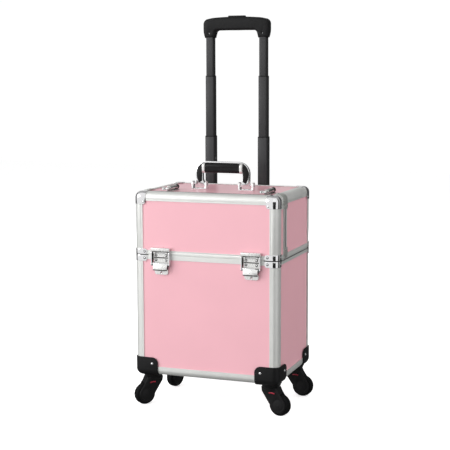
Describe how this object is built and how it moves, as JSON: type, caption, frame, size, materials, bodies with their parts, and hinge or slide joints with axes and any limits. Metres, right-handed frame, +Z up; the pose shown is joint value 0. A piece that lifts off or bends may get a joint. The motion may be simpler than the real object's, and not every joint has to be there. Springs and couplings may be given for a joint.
{
  "type": "makeup train case",
  "caption": "Rolling hard-sided makeup case: a carry case with front flap, latches and handle stands on a lower case with swivel casters and a telescopic handle.",
  "frame": {"origin": "middle of the footprint's bounding box, on the floor the wheels stand on", "axes": "+Z up along the telescopic handle, +Y from the front face with the latches to the rear with the trolley, +X to the right as seen from the front"},
  "size_m": [0.3679, 0.2876, 0.8881],
  "materials": {
    "pink_panel": "satin pink laminate sheet",
    "lining": "black lining cloth on board",
    "aluminium_rail": "satin silver anodised extrusion",
    "chrome": "bright plated steel",
    "latch_metal": "plated pressed steel",
    "grey_barrel": "dull grey plated steel",
    "black_plastic": "satin black moulded plastic",
    "dark_tube": "dark anodised tube",
    "wheel_rubber": "black moulded wheel"
  },
  "bodies": {
    "lower_case": {"lower_frame": "aluminium_rail", "lower_rim": "aluminium_rail", "lower_front_panel": "pink_panel", "lower_rear_panel": "pink_panel", "lower_left_panel": "pink_panel", "lower_right_panel": "pink_panel", "lower_floor_panel": "lining", "corner_housing_front_left": "black_plastic", "corner_housing_front_right": "black_plastic", "corner_housing_rear_left": "black_plastic", "corner_housing_rear_right": "black_plastic", "latch_keeper_left": "latch_metal", "latch_keeper_right": "latch_metal", "trolley_outer_tube_left": "dark_tube", "trolley_outer_tube_right": "dark_tube", "trolley_bracket_lower": "black_plastic", "trolley_bracket_upper": "black_plastic"},
    "carry_case": {"upper_frame": "aluminium_rail", "upper_rear_panel": "pink_panel", "upper_left_panel": "pink_panel", "upper_right_panel": "pink_panel", "upper_top_panel": "pink_panel", "upper_floor_panel": "lining", "flap_hinge_barrel": "chrome", "rear_corner_cap_left": "chrome", "rear_corner_cap_right": "chrome", "handle_bracket_left": "chrome", "handle_bracket_right": "chrome", "strap_barrel_left": "grey_barrel", "strap_barrel_right": "grey_barrel"},
    "flap": {"flap_frame": "aluminium_rail", "flap_panel": "pink_panel", "flap_corner_cap_left": "chrome", "flap_corner_cap_right": "chrome", "latch_plate_left": "latch_metal", "latch_plate_right": "latch_metal"},
    "latch_left": {"latch_lever_left": "chrome"},
    "latch_right": {"latch_lever_right": "chrome"},
    "carry_handle": {"handle_bail": "chrome", "handle_grip": "black_plastic"},
    "strap_eye_left": {"strap_eye_left": "chrome"},
    "strap_eye_right": {"strap_eye_right": "chrome"},
    "trolley_stage3": {"trolley_stage3_tube_left": "dark_tube", "trolley_stage3_tube_right": "dark_tube"},
    "trolley_stage2": {"trolley_stage2_tube_left": "dark_tube", "trolley_stage2_tube_right": "dark_tube"},
    "trolley_stage1": {"trolley_stage1_tube_left": "dark_tube", "trolley_stage1_tube_right": "dark_tube", "trolley_grip": "black_plastic"},
    "trolley_button": {"trolley_button": "black_plastic"},
    "tray": {"lift_tray": "black_plastic"},
    "fork_front_left": {"caster_fork_front_left": "black_plastic"},
    "wheel_front_left": {"caster_wheel_front_left": "wheel_rubber"},
    "fork_front_right": {"caster_fork_front_right": "black_plastic"},
    "wheel_front_right": {"caster_wheel_front_right": "wheel_rubber"},
    "fork_rear_left": {"caster_fork_rear_left": "black_plastic"},
    "wheel_rear_left": {"caster_wheel_rear_left": "wheel_rubber"},
    "fork_rear_right": {"caster_fork_rear_right": "black_plastic"},
    "wheel_rear_right": {"caster_wheel_rear_right": "wheel_rubber"}
  },
  "joints": [
    {"name": "carry_case_lift", "type": "slide", "parent": "lower_case", "child": "carry_case", "axis": [0, 0, 1], "range_m": [0, 0.18]},
    {"name": "flap_hinge", "type": "hinge", "parent": "carry_case", "child": "flap", "pos_m": [-0.00613, -0.11095, 0.49185], "axis": [-1, 0, 0], "range_deg": [0, 100]},
    {"name": "latch_left_hinge", "type": "hinge", "parent": "flap", "child": "latch_left", "pos_m": [-0.11043, -0.13785, 0.35655], "axis": [-1, 0, 0], "range_deg": [0, 90]},
    {"name": "latch_right_hinge", "type": "hinge", "parent": "flap", "child": "latch_right", "pos_m": [0.10307, -0.13785, 0.35655], "axis": [-1, 0, 0], "range_deg": [0, 90]},
    {"name": "handle_hinge", "type": "hinge", "parent": "carry_case", "child": "carry_handle", "pos_m": [-0.00463, -0.02015, 0.50385], "axis": [1, 0, 0], "range_deg": [-86, 86]},
    {"name": "strap_eye_left_swivel", "type": "hinge", "parent": "carry_case", "child": "strap_eye_left", "pos_m": [-0.10813, -0.09315, 0.49785], "axis": [0, 1, 0], "range_deg": [0, 180]},
    {"name": "strap_eye_right_swivel", "type": "hinge", "parent": "carry_case", "child": "strap_eye_right", "pos_m": [0.12387, -0.09315, 0.49785], "axis": [0, 1, 0], "range_deg": [0, 180]},
    {"name": "trolley_stage3_slide", "type": "slide", "parent": "lower_case", "child": "trolley_stage3", "axis": [0, 0, 1], "range_m": [-0.14, 0]},
    {"name": "trolley_stage2_slide", "type": "slide", "parent": "trolley_stage3", "child": "trolley_stage2", "axis": [0, 0, 1], "range_m": [-0.14, 0]},
    {"name": "trolley_stage1_slide", "type": "slide", "parent": "trolley_stage2", "child": "trolley_stage1", "axis": [0, 0, 1], "range_m": [-0.088, 0]},
    {"name": "trolley_button_press", "type": "slide", "parent": "trolley_stage1", "child": "trolley_button", "axis": [0, 0, -1], "range_m": [0, 0.004], "stiffness_N_per_m": 500, "springref_m": -0.003},
    {"name": "tray_lift", "type": "slide", "parent": "lower_case", "child": "tray", "axis": [0, 0, 1], "range_m": [0, 0.03]},
    {"name": "swivel_front_left", "type": "hinge", "parent": "lower_case", "child": "fork_front_left", "pos_m": [-0.14913, -0.09765, 0.07435], "axis": [0, 0, 1], "continuous": true},
    {"name": "wheel_spin_front_left", "type": "hinge", "parent": "fork_front_left", "child": "wheel_front_left", "pos_m": [-0.16357, -0.11504, 0.02435], "axis": [0.7694, -0.6388, 0], "continuous": true},
    {"name": "swivel_front_right", "type": "hinge", "parent": "lower_case", "child": "fork_front_right", "pos_m": [0.13687, -0.09765, 0.07435], "axis": [0, 0, 1], "continuous": true},
    {"name": "wheel_spin_front_right", "type": "hinge", "parent": "fork_front_right", "child": "wheel_front_right", "pos_m": [0.15915, -0.10146, 0.02435], "axis": [0.1685, 0.9857, 0], "continuous": true},
    {"name": "swivel_rear_left", "type": "hinge", "parent": "lower_case", "child": "fork_rear_left", "pos_m": [-0.14913, 0.07285, 0.07435], "axis": [0, 0, 1], "continuous": true},
    {"name": "wheel_spin_rear_left", "type": "hinge", "parent": "fork_rear_left", "child": "wheel_rear_left", "pos_m": [-0.15701, 0.05167, 0.02435], "axis": [0.9373, -0.3486, 0], "continuous": true},
    {"name": "swivel_rear_right", "type": "hinge", "parent": "lower_case", "child": "fork_rear_right", "pos_m": [0.13687, 0.07285, 0.07435], "axis": [0, 0, 1], "continuous": true},
    {"name": "wheel_spin_rear_right", "type": "hinge", "parent": "fork_rear_right", "child": "wheel_rear_right", "pos_m": [0.15947, 0.07285, 0.02435], "axis": [0, 1, 0], "continuous": true}
  ]
}
